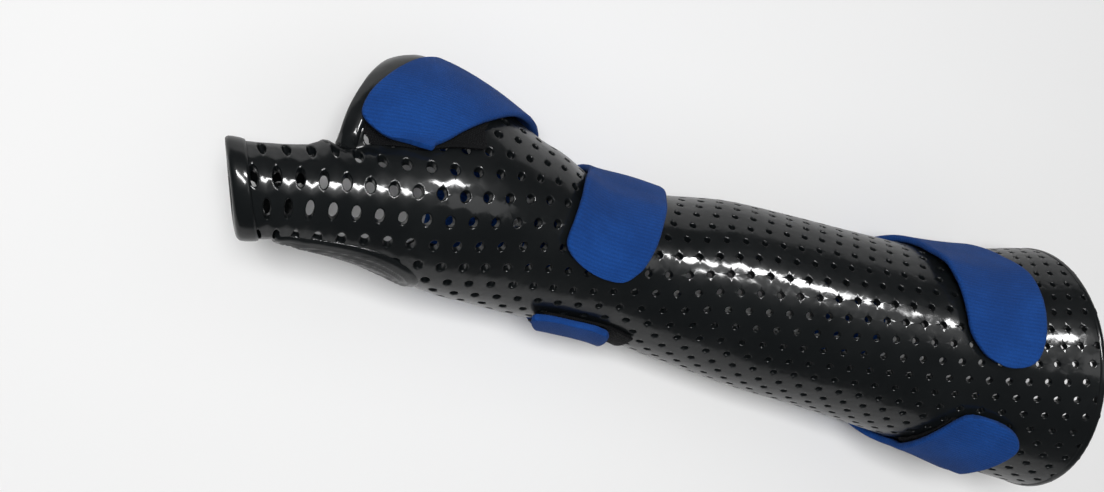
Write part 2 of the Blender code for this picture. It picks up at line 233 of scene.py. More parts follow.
def arc_table(tube):
    """Length round the form from angle 0 to each turn, a row for each station."""
    grid_x, grid_a = np.meshgrid(stations, turns, indexing="ij")
    points = outline(grid_x.ravel(), grid_a.ravel(), np.full(grid_x.size, tube))
    points = points.reshape(len(stations), len(turns), 3)
    steps = np.linalg.norm(np.diff(points, axis=1), axis=2)
    arcs = np.concatenate([np.zeros((len(stations), 1)), np.cumsum(steps, axis=1)], axis=1)
    middle = len(turns) // 2
    return arcs - arcs[:, middle:middle + 1]


ARCS = {False: arc_table(False), True: arc_table(True)}


def read_rows(table, x, column_values, columns, inverse=False):
    """Read or invert a station table at many points."""
    place = np.clip((x - stations[0]) / (stations[1] - stations[0]), 0, len(stations) - 1.001)
    low = place.astype(int)
    share = place - low
    out = np.empty(len(x))
    for i in np.unique(low):
        pick = low == i
        row = table[i][None, :] * (1.0 - share[pick])[:, None] + table[i + 1][None, :] * share[pick][:, None]
        wanted = column_values[pick]
        if inverse:
            out[pick] = [np.interp(w, r, columns) for w, r in zip(wanted, row)]
        else:
            out[pick] = [np.interp(w, columns, r) for w, r in zip(wanted, row)]
    return out


def pulled_round(x, v):
    """Extra length round the thumb, past the even stretch."""
    return smooth(-64.0, -82.0, x) * np.interp(v, PULLED_ROUND[:, 0], PULLED_ROUND[:, 1])


def to_flat(x, angle, tube):
    """From the form to the flat sheet."""
    x = np.asarray(x, float)
    arc = read_rows(ARCS[tube], x, np.asarray(angle, float), turns)
    from_row0 = arc - np.interp(x, LAY[:, 0], LAY[:, 1])
    stretch_round = np.interp(x, LAY[:, 0], LAY[:, 3])
    v = from_row0 / stretch_round
    for _ in range(12):
        v = (from_row0 - pulled_round(x, v)) / stretch_round
    u = np.interp(x, stations, flat_u) + np.interp(x, LAY[:, 0], LAY[:, 4]) * v
    return np.stack([u, v], axis=1)


def station_of(u, v):
    """The station x of a point of the flat sheet."""
    x = np.interp(u, flat_u, stations)
    for _ in range(12):
        x = np.interp(u - np.interp(x, LAY[:, 0], LAY[:, 4]) * v, flat_u, stations)
    return x


# The slit between the thumb's tongue and the two flaps: v past the split, x
SLIT_BACK = np.array([(0.0, -77.0), (2.0, -79.3), (6.0, -80.0), (30.0, -79.0)])
SLIT_PALM = np.array([(0.0, -86.0), (2.0, -83.5), (6.0, -80.5), (30.0, -79.0)])


def on_tongue(x, v):
    """Which points of the flat sheet go round the thumb."""
    back = to_flat(x, np.full(len(x), SPLIT_BACK), True)[:, 1]
    palm = to_flat(x, np.full(len(x), SPLIT_PALM), True)[:, 1]
    line = SLIT_PALM[0, 1] + (SLIT_BACK[0, 1] - SLIT_PALM[0, 1]) * np.clip((v - palm) / (back - palm), 0, 1)
    line = np.where(v > back, np.interp(v - back, SLIT_BACK[:, 0], SLIT_BACK[:, 1]), line)
    line = np.where(v < palm, np.interp(palm - v, SLIT_PALM[:, 0], SLIT_PALM[:, 1]), line)
    return x < line


def drape(flat):
    """Lay points of the flat sheet, u, v and height over its face, on the form, in metres."""
    u, v, height = flat.T
    x = station_of(u, v)
    tube = on_tongue(x, v)
    arc = np.interp(x, LAY[:, 0], LAY[:, 1]) + v * np.interp(x, LAY[:, 0], LAY[:, 3]) + pulled_round(x, v)
    angle = np.empty(len(x))
    for form in (True, False):
        pick = tube == form
        if pick.any():
            angle[pick] = read_rows(ARCS[form], x[pick], arc[pick], turns, inverse=True)
    return slanted(surface(x, angle, height, tube)) * MM


print("row 0 is", round(float(flat_u[-1] - flat_u[0])), "mm long on the flat sheet")

# %% [markdown]
# ## One cell of the perforated sheet
#
# The holes stand in staggered rows, so the smallest piece that repeats is a cell with one whole
# hole. A circle is the edge of the hole. Extruding it down in small steps and narrowing it rounds
# the rim as a punched and warmed sheet has it, and one long step makes the wall. A square round it,
# with a point in the middle of each side, lets the next row start half a hole further on.

# %% Model the cell
PITCH = 5.5
ROW = 5.1
HOLE_R = 1.22
HOLE_SIDES = 16
RIM_STEPS = [(0.12, 0.82), (0.42, 0.93)]     # depth, share of the radius before


def nothing_selected():
    """Object mode, and nothing selected."""
    if bpy.context.object and bpy.context.object.mode != "OBJECT":
        bpy.ops.object.mode_set(mode="OBJECT")
    bpy.ops.object.select_all(action="DESELECT")


def only(thing):
    """Select one object and make it active."""
    nothing_selected()
    thing.select_set(True)
    bpy.context.view_layer.objects.active = thing


def apply_all(thing):
    """Apply each modifier in turn."""
    only(thing)
    for modifier in list(thing.modifiers):
        bpy.ops.object.modifier_apply(modifier=modifier.name)


def select_where(thing, test):
    """In edit mode, select the edges whose two ends pass a test."""
    bm = bmesh.from_edit_mesh(thing.data)
    for vert in bm.verts:
        vert.select = False
    bm.select_flush(False)
    for edge in bm.edges:
        edge.select = all(test(v.co) for v in edge.verts)
    bm.select_flush(True)
    bmesh.update_edit_mesh(thing.data)


nothing_selected()
rim_r = HOLE_R / (RIM_STEPS[0][1] * RIM_STEPS[1][1])
bpy.ops.mesh.primitive_circle_add(vertices=HOLE_SIDES, radius=rim_r)
cell = bpy.context.object
cell.name = "cell"
bpy.ops.object.mode_set(mode="EDIT")
bpy.ops.mesh.select_mode(type="EDGE")
bpy.ops.mesh.select_all(action="SELECT")
depth = 0.0
for level, share in RIM_STEPS:
    bpy.ops.mesh.extrude_region_move(TRANSFORM_OT_translate={"value": (0, 0, depth - level)})
    bpy.ops.transform.resize(value=(share, share, 1.0))
    depth = level
bpy.ops.mesh.extrude_region_move(TRANSFORM_OT_translate={"value": (0, 0, depth - WALL)})
for level in (0.0, -WALL):
    bpy.ops.mesh.select_all(action="DESELECT")
    bpy.ops.mesh.primitive_plane_add(size=1.0, location=(0, 0, level))
    bpy.ops.transform.resize(value=(PITCH, ROW, 1.0))
    bpy.ops.mesh.delete(type="ONLY_FACE")
    select_where(cell, lambda co: abs(co.z - level) < 1e-4 and co.length > 2.0 + abs(level))
    bpy.ops.mesh.subdivide(number_cuts=1)
    select_where(cell, lambda co: abs(co.z - level) < 1e-4)
    bpy.ops.mesh.fill(use_beauty=True)
bpy.ops.mesh.select_all(action="SELECT")
bpy.ops.mesh.normals_make_consistent(inside=False)
bpy.ops.object.mode_set(mode="OBJECT")
print("cell:", len(cell.data.polygons), "faces", [round(d, 2) for d in cell.dimensions])

# %% [markdown]
# ## The pattern
#
# A splint maker draws the pattern round a hand laid on paper. Here the edges are known on the form,
# so they are carried back to the flat sheet: the elbow end, the two long free edges, the edges of
# the flaps over the back of the hand and in the palm, and the tongue that goes round the thumb.

# %% Draw the pattern
# x, height of the free edge on the back, height on the palm side
EDGES = np.array([
    (-90.0, 22.0, 14.0),
    (-60.0, 21.0, 11.0),
    (-40.0, 21.0, 9.0),
    (-10.0, 24.0, 11.0),
    (16.0, 24.0, 13.0),
    (60.0, 23.0, 15.0),
    (110.0, 22.0, 17.0),
    (170.0, 22.0, 19.0),
])
# share of the way from the thumb to the free edge, x
BACK_FLAP_EDGE = np.array([(0.0, -77.0), (0.15, -79.0), (0.35, -78.0), (0.6, -72.0), (0.8, -64.0), (1.0, -58.0)])
PALM_FLAP_EDGE = np.array([(0.0, -86.0), (0.25, -77.0), (0.5, -66.0), (0.75, -55.0), (1.0, -46.0)])
# share of the way round the thumb from the back to the palm split, x
TONGUE_EDGE = np.array([(0.0, -77.0), (0.08, -81.0), (0.5, -82.5), (0.92, -84.5), (1.0, -86.0)])
MOUTH = (-102.2, -101.2)
ELBOW = 143.0


def edge_turn(x, side):
    """Where the free edge lies round the form at many x, on the back (1) or palm side (-1)."""
    tries = np.radians(np.linspace(60.0, 175.0, 231))
    heights = along(EDGES, x)[:, 0 if side > 0 else 1]
    out = []
    for one, height in zip(np.atleast_1d(x), heights):
        points = outline(np.full(len(tries), one), side * tries, np.zeros(len(tries), bool))
        out.append(side * np.interp(-height, -points[:, 2], tries))
    return np.array(out)


def flap_edge(table, split, side, shares):
    """The edge of a flap, from the thumb to the free edge, as x and turn."""
    x = along(table, shares)[:, 0]
    return x, split + (edge_turn(x, side) - split) * shares


def tongue_edge(shares):
    """Where the tongue starts behind the thumb."""
    x = along(TONGUE_EDGE, shares)[:, 0]
    return x, SPLIT_BACK + (SPLIT_PALM + 2.0 * math.pi - SPLIT_BACK) * shares


def mouth_edge(turn_list):
    """x of the thumb mouth at many turns."""
    keys = [SEAM_PALM, SPLIT_PALM, SPLIT_BACK, SEAM_BACK]
    half = 0.5 * (MOUTH[0] + MOUTH[1])
    return np.interp(turn_list, keys, [half, MOUTH[1], MOUTH[0], half])


half = np.linspace(0.0, 0.5, 14)
runs = {}
x_run = np.linspace(ELBOW, BACK_FLAP_EDGE[-1, 1], 70)
runs["back_edge"] = to_flat(x_run, edge_turn(x_run, 1), False)
runs["back_flap"] = to_flat(*flap_edge(BACK_FLAP_EDGE, SPLIT_BACK, 1, np.linspace(1.0, 0.0, 48)), False)
runs["tongue_back"] = to_flat(*tongue_edge(half), True)
mouth_turns = np.linspace(SEAM_BACK, SEAM_PALM, 97)
seam_x = np.linspace(tongue_edge(np.array([0.5]))[0][0], mouth_edge(SEAM_BACK), 8)
runs["seam_back"] = to_flat(seam_x, np.full(8, SEAM_BACK), True)
runs["mouth"] = to_flat(mouth_edge(mouth_turns), mouth_turns, True)
runs["seam_palm"] = to_flat(seam_x[::-1], np.full(8, SEAM_PALM), True)
x_half, turn_half = tongue_edge(half + 0.5)
runs["tongue_palm"] = to_flat(x_half, turn_half - 2.0 * math.pi, True)
runs["palm_flap"] = to_flat(*flap_edge(PALM_FLAP_EDGE, SPLIT_PALM, -1, np.linspace(0.0, 1.0, 48)), False)
x_run = np.linspace(PALM_FLAP_EDGE[-1, 1], ELBOW, 70)
runs["palm_edge"] = to_flat(x_run, edge_turn(x_run, -1), False)
turn_ends = edge_turn(np.array([ELBOW, ELBOW]), -1)[0], edge_turn(np.array([ELBOW, ELBOW]), 1)[0]
runs["elbow_end"] = to_flat(np.full(60, ELBOW), np.linspace(*turn_ends, 60), False)
pattern = np.concatenate([run[:-1] for run in runs.values()])
print("pattern:", len(pattern), "points,", np.ptp(pattern, axis=0).round(), "mm")

# %% [markdown]
# ## The perforated blank, cut to the pattern
#
# Two Array modifiers repeat a pair of rows, which is quick and keeps every hole the same. The blank
# is closed round its border to a solid, so that a Boolean with an upright prism of the pattern can
# cut it as shears cut the sheet, through holes and all.

# %% Repeat the cell and cut the pattern
low = pattern.min(axis=0)
high = pattern.max(axis=0)
first = (math.floor(low[0] / PITCH) - 1, 2 * math.floor(low[1] / (2.0 * ROW)) - 2)
across_u = math.ceil(high[0] / PITCH) - first[0] + 2
pairs = math.ceil((high[1] / ROW - first[1]) / 2.0) + 1

only(cell)
bpy.ops.object.duplicate()
second = bpy.context.object
second.location = (PITCH / 2.0, ROW, 0.0)
cell.select_set(True)
bpy.context.view_layer.objects.active = cell
bpy.ops.object.join()
cell.name = "blank"
cell.location = (first[0] * PITCH, first[1] * ROW, 0.0)
only(cell)
bpy.ops.object.transform_apply(location=True, rotation=False, scale=False)
for count, step in ((across_u, (PITCH, 0.0, 0.0)), (pairs, (0.0, 2.0 * ROW, 0.0))):
    rows = cell.modifiers.new("Rows", "ARRAY")
    rows.count = count
    rows.use_relative_offset = False
    rows.use_constant_offset = True
    rows.constant_offset_displace = step
    rows.use_merge_vertices = True
    rows.merge_threshold = 0.01
apply_all(cell)

print("blank:", len(cell.data.polygons), "faces,", across_u, "by", 2 * pairs, "cells")


def from_loop(name, loop, bottom, top):
    """An upright prism on a loop of the flat sheet."""
    mesh = bpy.data.meshes.new(name)
    bm = bmesh.new()
    face = bm.faces.new([bm.verts.new((u, v, bottom)) for u, v in loop])
    bmesh.ops.recalc_face_normals(bm, faces=[face])
    raised = bmesh.ops.extrude_face_region(bm, geom=[face])["geom"]
    bmesh.ops.translate(bm, verts=[g for g in raised if isinstance(g, bmesh.types.BMVert)], vec=(0, 0, top - bottom))
    bmesh.ops.recalc_face_normals(bm, faces=bm.faces)
    bm.to_mesh(mesh)
    bm.free()
    made = bpy.data.objects.new(name, mesh)
    bpy.context.collection.objects.link(made)
    return made


only(cell)
bpy.ops.object.mode_set(mode="EDIT")
bpy.ops.mesh.select_mode(type="EDGE")
bpy.ops.mesh.select_all(action="SELECT")
bpy.ops.mesh.remove_doubles(threshold=0.01)
bpy.ops.mesh.select_all(action="DESELECT")
bpy.ops.mesh.select_non_manifold()
bpy.ops.mesh.bridge_edge_loops()
bpy.ops.mesh.select_all(action="SELECT")
bpy.ops.mesh.normals_make_consistent(inside=False)
bpy.ops.object.mode_set(mode="OBJECT")
shears = from_loop("shears", pattern, -WALL - 2.0, 2.0)
cut = cell.modifiers.new("Cut", "BOOLEAN")
cut.operation = "INTERSECT"
cut.object = shears
cut.solver = "MANIFOLD"
apply_all(cell)
bpy.data.objects.remove(shears)
bm = bmesh.new()
bm.from_mesh(cell.data)
open_edges = sum(1 for e in bm.edges if not e.is_manifold)
bm.free()
print("cut sheet:", len(cell.data.polygons), "faces,", open_edges, "open edges")

# %% [markdown]
# ## Draping the cut sheet
#
# This is the warm sheet laid over the arm. Every point of the cut blank keeps its place on the
# sheet and its depth in the wall, and the drape puts it on the form. The flaps' edges swell where
# they were rolled back on themselves while still soft.

# %% Drape the sheet
BACK_ROLL = 1.2
PALM_ROLL = 0.7
ROLL_SETBACK = 3.0
ROLL_SPREAD = 2.2


def distance_to(run, points):
    """Distance from points of the flat sheet to the nearest place on a run, and how far along it is."""
    best = np.full(len(points), 1e9)
    share = np.zeros(len(points))
    for i, (a, b) in enumerate(zip(run, run[1:])):
        edge = b - a
        t = np.clip(((points - a) @ edge) / max(edge @ edge, 1e-9), 0.0, 1.0)
        gap = np.linalg.norm(points - a - t[:, None] * edge, axis=1)
        closer = gap < best
        best[closer] = gap[closer]
        share[closer] = ((i + t) / (len(run) - 1))[closer]
    return best, share


def rolled_lift(points):
    """How far the flaps' rolled edges stand out at points of the flat sheet."""
    lift = np.zeros(len(points))
    near_back, share_back = distance_to(runs["back_flap"][::-1], points)
    near_palm, share_palm = distance_to(runs["palm_flap"], points)
    lift += BACK_ROLL * np.exp(-((near_back - ROLL_SETBACK) / ROLL_SPREAD) ** 2) * smooth(0.0, 0.15, share_back)
    lift += (PALM_ROLL * np.exp(-((near_palm - ROLL_SETBACK) / ROLL_SPREAD) ** 2)
             * smooth(0.0, 0.12, share_palm) * smooth(0.9, 0.6, share_palm))
    lift += 1.2 * np.exp(-((points[:, 0] - 20.0) / 12.0) ** 2) * np.exp(-((points[:, 1] - 7.8) / 4.0) ** 2)
    return lift


def set_places(thing, places):
    """Move all the points of a mesh at once."""
    thing.data.vertices.foreach_set("co", np.ascontiguousarray(places, dtype=np.float32).ravel())
    thing.data.update()


def get_places(thing):
    """All the points of a mesh, a row each."""
    places = np.empty(len(thing.data.vertices) * 3)
    thing.data.vertices.foreach_get("co", places)
    return places.reshape(-1, 3)


def drape_mesh(thing):
    """Drape a mesh that was modelled on the flat sheet."""
    flat = get_places(thing)
    flat[:, 2] += rolled_lift(flat[:, :2])
    set_places(thing, drape(flat))


def stretch_holes(flat):
    """Lengthen the holes round the thumb, where the warm sheet was pulled most. The grid stays."""
    row = np.rint(flat[:, 1] / ROW)
    offset_v = flat[:, 1] - row * ROW
    start = (row % 2.0) * 0.5 * PITCH
    offset_u = flat[:, 0] - start - np.rint((flat[:, 0] - start) / PITCH) * PITCH
    from_hole = np.hypot(offset_u, offset_v)
    reach_out = smooth(0.5 * ROW, rim_r * 1.05, from_hole)
    pull = np.interp(flat[:, 0], PULL[:, 0], PULL[:, 1])
    tighter = np.interp(flat[:, 0], PULL[:, 0], PULL[:, 2])
    flat = flat.copy()
    flat[:, 1] += offset_v * (pull - 1.0) * reach_out
    flat[:, 0] += offset_u * (tighter - 1.0) * reach_out
    return flat


# place along row 0 from the first hole, size of the holes round the form, size along it
PULL = np.array([
    (-4.0, 1.36, 0.84),
    (14.0, 1.26, 0.86),
    (26.0, 1.08, 0.92),
    (44.0, 0.95, 0.94),
    (60.0, 0.84, 0.86),
    (80.0, 0.76, 0.78),
    (110.0, 0.73, 0.73),
    (240.0, 0.73, 0.75),
])

only(cell)
bpy.ops.object.mode_set(mode="EDIT")
bpy.ops.mesh.select_all(action="SELECT")
bpy.ops.mesh.quads_convert_to_tris(quad_method="BEAUTY", ngon_method="BEAUTY")
bpy.ops.object.mode_set(mode="OBJECT")
sheet = cell
sheet.name = "perforated_sheet"
set_places(sheet, stretch_holes(get_places(sheet)))
drape_mesh(sheet)
print("draped:", len(sheet.data.polygons), "triangles", [round(d * 1000) for d in sheet.dimensions])

# %% [markdown]
# ## Turned edges
#
# The maker folds and smooths the edges while the sheet is warm. At the thumb mouth and on the flap
# over the back of the hand a narrow band is folded back on the face, which covers the holes there.
# In the palm the edge is rolled twice. The long edges only get a rounded lip. Each is a small
# profile carried along its edge on the flat sheet, and then draped with it.

# %% Fold the edges
# distance in from the edge, height over the face
FOLDED = [(4.6, -0.6), (4.6, 0.0), (4.4, 0.42), (3.8, 0.66), (2.6, 0.78), (1.6, 0.84), (0.7, 0.8), (0.05, 0.58),
          (-0.4, 0.12), (-0.6, -0.8), (-0.55, -1.9), (-0.1, -2.55), (0.7, -2.75), (2.0, -2.7), (2.4, -2.0)]
THIN_FOLD = [(4.4, -0.5), (4.4, 0.2), (4.1, 0.5), (3.4, 0.62), (2.0, 0.66), (0.8, 0.62), (0.1, 0.4), (-0.4, 0.0),
             (-0.6, -0.9), (-0.5, -1.9), (0.0, -2.5), (0.7, -2.6), (1.6, -2.55), (2.0, -2.0)]
DOUBLE_ROLL = [(6.2, -0.6), (6.2, 0.1), (5.7, 0.45), (5.0, 0.6), (4.3, 0.5), (3.8, 0.28), (3.4, 0.4), (2.9, 0.8),
               (2.2, 1.0), (1.3, 0.95), (0.4, 0.6), (-0.3, -0.1), (-0.5, -1.2), (-0.2, -2.2), (0.7, -2.7), (2.0, -2.2)]
LIP = [(1.7, -0.3), (1.5, 0.12), (0.9, 0.24), (0.2, 0.2), (-0.3, -0.1), (-0.5, -0.7), (-0.5, -1.7), (-0.3, -2.3),
       (0.2, -2.6), (0.9, -2.6), (1.5, -2.45), (1.6, -1.8)]

turning = np.sum(pattern[:, 0] * np.roll(pattern[:, 1], -1) - np.roll(pattern[:, 0], -1) * pattern[:, 1])
INWARD = 1.0 if turning > 0.0 else -1.0


def edge_piece(name, run, profile, fade=(0.0, 0.0), wide=1.0):
    """A strip rolled round an edge of the flat sheet to a closed profile; it can thin out at its ends."""
    steps = np.gradient(run, axis=0)
    steps /= np.linalg.norm(steps, axis=1)[:, None]
    inward = INWARD * np.stack([-steps[:, 1], steps[:, 0]], axis=1)
    share = np.linspace(0.0, 1.0, len(run))
    size = np.ones(len(run))
    if fade[0]:
        size = np.minimum(size, 0.35 + 0.65 * smooth(0.0, fade[0], share))
    if fade[1]:
        size = np.minimum(size, 0.35 + 0.65 * smooth(0.0, fade[1], 1.0 - share))
    nothing_selected()
    bpy.ops.mesh.primitive_grid_add(x_subdivisions=len(run) - 1, y_subdivisions=len(profile), size=1.0)
    strip = bpy.context.object
    strip.name = name
    spot = get_places(strip) + 0.5
    k = np.rint(spot[:, 0] * (len(run) - 1)).astype(int)
    section = np.array(profile)[np.rint(spot[:, 1] * len(profile)).astype(int) % len(profile)]
    places = np.empty_like(spot)
    wide = np.broadcast_to(wide, len(run))
    depth_in = np.where(section[:, 0] > 1.0, section[:, 0] * wide[k], section[:, 0])
    places[:, :2] = run[k] + inward[k] * (depth_in * size[k])[:, None]
    places[:, 2] = np.where(section[:, 1] > 0.0, section[:, 1] * size[k], section[:, 1])
    set_places(strip, places)
    bpy.ops.object.mode_set(mode="EDIT")
    bpy.ops.mesh.select_all(action="SELECT")
    bpy.ops.mesh.remove_doubles(threshold=0.001)
    bpy.ops.mesh.fill_holes(sides=0)
    bpy.ops.mesh.select_all(action="SELECT")
    bpy.ops.mesh.normals_make_consistent(inside=False)
    bpy.ops.object.mode_set(mode="OBJECT")
    drape_mesh(strip)
    return strip


# the tongue's end, pressed flat over the palm side: x and turn of its outline on the form
OVERLAP = [(-91, -98), (-90, -66), (-86, -60), (-80, -57), (-74, -51), (-68, -46), (-62, -44), (-57, -46.5),
           (-53, -51), (-50, -58), (-48.6, -66), (-48.4, -76), (-49.5, -86), (-52, -97), (-58, -112), (-66, -122),
           (-80, -110)]
OVERLAP_RISE = 0.75
CREASES = [2.4, 4.3, 6.0]


def overlap_piece():
    """The smooth lapped area in the palm, with creases that follow its edge."""
    corners = np.array(OVERLAP, float)
    turn = np.append(corners, corners[:1], axis=0)
    key = np.arange(len(turn))
    fine = np.linspace(0, len(turn) - 1, 120)[:-1]
    loop = np.stack([np.interp(fine, key, turn[:, 0]), np.radians(np.interp(fine, key, turn[:, 1]))], axis=1)
    for _ in range(3):
        loop = 0.25 * np.roll(loop, 1, axis=0) + 0.5 * loop + 0.25 * np.roll(loop, -1, axis=0)
    outline_flat = to_flat(loop[:, 0], loop[:, 1], False)
    low, high = outline_flat.min(axis=0), outline_flat.max(axis=0)
    middle, size = 0.5 * (low + high), high - low + 2.0
    nothing_selected()
    bpy.ops.mesh.primitive_grid_add(x_subdivisions=int(size[0] / 0.55), y_subdivisions=int(size[1] / 0.55), size=1.0)
    lap = bpy.context.object
    lap.name = "tongue_lap"
    bpy.ops.object.mode_set(mode="EDIT")
    bpy.ops.mesh.select_all(action="SELECT")
    bpy.ops.transform.resize(value=(size[0], size[1], 1.0))
    bpy.ops.mesh.extrude_region_move(TRANSFORM_OT_translate={"value": (0.0, 0.0, -1.0)})
    bpy.ops.mesh.select_all(action="SELECT")
    bpy.ops.mesh.normals_make_consistent(inside=False)
    bpy.ops.object.mode_set(mode="OBJECT")
    prism = from_loop("lap_outline", outline_flat - middle, -2.0, 2.0)
    cut = lap.modifiers.new("Cut", "BOOLEAN")
    cut.operation = "INTERSECT"
    cut.object = prism
    cut.solver = "MANIFOLD"
    apply_all(lap)
    bpy.data.objects.remove(prism)
    flat = get_places(lap)
    flat[:, :2] += middle
    from_edge, _ = distance_to(np.append(outline_flat, outline_flat[:1], axis=0), flat[:, :2])
    soft = np.clip(from_edge / 1.3, 0.0, 1.0)
    rise = OVERLAP_RISE * np.sqrt(1.0 - (1.0 - soft) ** 2) - 0.05
    for i, place in enumerate(CREASES):
        rise += (0.42 - 0.08 * i) * np.exp(-((from_edge - place) / 0.42) ** 2)
        rise -= 0.22 * np.exp(-((from_edge - place - 0.85) / 0.5) ** 2)
    flat[:, 2] = np.where(flat[:, 2] > -0.5, rise, -0.9)
    set_places(lap, flat)
    drape_mesh(lap)
    return lap


turned = [
    overlap_piece(),
    edge_piece("mouth_fold", runs["mouth"], FOLDED,
               wide=1.0 + 0.35 * np.exp(-((mouth_turns + 1.5) / 0.9) ** 2)),
    edge_piece("back_flap_fold", runs["back_flap"], THIN_FOLD, (0.0, 0.12)),
    edge_piece("palm_roll", runs["palm_flap"], DOUBLE_ROLL, (0.1, 0.12)),
    edge_piece("back_lip", runs["back_edge"], LIP),
    edge_piece("palm_lip", runs["palm_edge"], LIP),
    edge_piece("elbow_lip", runs["elbow_end"], LIP),
    edge_piece("tongue_lip_back", runs["tongue_back"], LIP),
    edge_piece("tongue_lip_palm", runs["tongue_palm"], LIP),
]
nothing_selected()
for piece in turned + [sheet]:
    piece.select_set(True)
bpy.context.view_layer.objects.active = sheet
bpy.ops.object.join()
only(sheet)
bpy.ops.object.shade_smooth_by_angle(angle=math.radians(60.0))
even = sheet.modifiers.new("Even", "WEIGHTED_NORMAL")
even.mode = "FACE_AREA"
even.weight = 90
even.keep_sharp = True
apply_all(sheet)
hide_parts("shell")
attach(sheet, "root")
print("sheet with turned edges:", sum(len(p.vertices) - 2 for p in sheet.data.polygons), "triangles")

# %% [markdown]
# ## Loop straps and hook patches
#
# A loop strap is a thin layer of foam between two faces of brushed loop cloth, so its edges are soft
# and round. It goes once round the splint over the open side, and its two ends press on patches of
# hook tape that are glued to the plastic. Straps and patches are all bands that follow the form, so
# one helper makes them, from a table of where the band runs.

# %% Bands that follow the form
CLEAR = 0.3
HOOK_THICK = 0.8
STRAP_THICK = 2.0
STRAP_WIDTH = 25.5
HAND_STRAP_WIDTH = 30.5
ON_HOOK = CLEAR + HOOK_THICK + CLEAR
LIFTED_FROM = 0.3


def band_points(kind, x, turn, lift):
    """Points on the closed form that a band follows; turn is about the form's own middle."""
    form = oval(HAND, x) if kind == "hand" else oval(ARM, x)
    y = form[0] + form[2] * np.sin(turn)
    z = form[1] + form[3] * np.cos(turn)
    arm = oval(ARM, x)
    angle = np.arctan2(y - arm[0], z - arm[1])
    return surface(x, angle, lift, np.zeros(len(x), bool))


def flat_strip(name, length, width, thick, steps, across):
    """A strip of cloth or tape, cut to length, with soft edges all round and still flat."""
    nothing_selected()
    bpy.ops.mesh.primitive_grid_add(x_subdivisions=steps, y_subdivisions=across, size=1.0)
    strip = bpy.context.object
    strip.name = name
    bpy.ops.object.mode_set(mode="EDIT")
    bpy.ops.mesh.select_mode(type="EDGE")
    bpy.ops.mesh.select_all(action="SELECT")
    bpy.ops.transform.resize(value=(length, width, 1.0))
    bpy.ops.mesh.extrude_region_move(TRANSFORM_OT_translate={"value": (0.0, 0.0, thick)})
    select_where(strip, lambda co: abs(co.x) > 0.5 * length - 1e-3 or abs(co.y) > 0.5 * width - 1e-3)
    bm = bmesh.from_edit_mesh(strip.data)
    for edge in bm.edges:
        if abs(edge.verts[0].co.z - edge.verts[1].co.z) > 0.5 * thick:
            edge.select = False
    bmesh.update_edit_mesh(strip.data)
    bpy.ops.mesh.bevel(offset=0.44 * thick, segments=3, profile=0.5, affect="EDGES")
    bpy.ops.mesh.select_all(action="SELECT")
    bpy.ops.mesh.normals_make_consistent(inside=False)
    bpy.ops.object.mode_set(mode="OBJECT")
    return strip


def band_piece(name, kind, path, width, thick, floor=None, steps=150, across=16, nose=1.6, taut=0.0):
    """A strip wrapped round the form along a path table."""
    path = np.array(path)
    fine = np.linspace(path[0, 0], path[-1, 0], 600)
    line = band_points(kind, along(path, fine)[:, 0], np.radians(fine), np.interp(fine, path[:, 0], path[:, 2]))
    run = np.concatenate([[0.0], np.cumsum(np.linalg.norm(np.diff(line, axis=0), axis=1))])
    length = float(run[-1])
    strip = flat_strip(name, length, width, thick, steps, across)
    flat = get_places(strip)
    flat[:, 0] += 0.5 * length
    flat[:, 2] -= flat[:, 2].min()
    crowd = 0.5 - 0.5 * np.cos(math.pi * flat[:, 0] / length)
    flat[:, 0] = 0.4 * crowd * length + 0.6 * flat[:, 0]
    degrees = np.interp(flat[:, 0], run, fine)
    middle, _, share, _ = along(path, degrees).T
    lift = np.interp(degrees, path[:, 0], path[:, 2])
    tilt = np.interp(degrees, path[:, 0], path[:, 4])
    from_end = np.clip(np.minimum(flat[:, 0], length - flat[:, 0]) / nose, 0.0, 1.0)
    share *= np.maximum(0.12, np.sqrt(1.0 - (1.0 - from_end) ** 2))
    flat[:, 1] *= share
    raised = lift + flat[:, 2] + tilt * np.maximum(0.0, LIFTED_FROM - flat[:, 1] / width) ** 2
    raised += taut * smooth(50.0, 78.0, degrees) * smooth(280.0, 255.0, degrees) * (1.0 - (2.0 * flat[:, 1] / width) ** 2)
    points = band_points(kind, middle + flat[:, 1], np.radians(degrees), raised)
    if floor is not None:
        lowest = floor + thick - flat[:, 2]
        above = points[:, 2] - (lowest - 0.22)
        points[:, 2] += 0.5 * (np.sqrt(above * above + 4.0) - above)
        points[:, 2] = np.maximum(points[:, 2], lowest)
    set_places(strip, (points - MIDDLE) * MM)
    on_band = strip.data.attributes.new("on_band", "FLOAT_VECTOR", "POINT")
    on_band.data.foreach_set("vector", flat.astype(np.float32).ravel())
    only(strip)
    bpy.ops.object.mode_set(mode="EDIT")
    bpy.ops.mesh.select_all(action="SELECT")
    bpy.ops.mesh.normals_make_consistent(inside=False)
    bpy.ops.object.mode_set(mode="OBJECT")
    bpy.ops.object.shade_smooth()
    print(name, "is", round(length), "mm long,", len(strip.data.polygons), "faces")
    return strip


# %% Wrap the loop straps and press on the hook patches
OH, CL = ON_HOOK, CLEAR
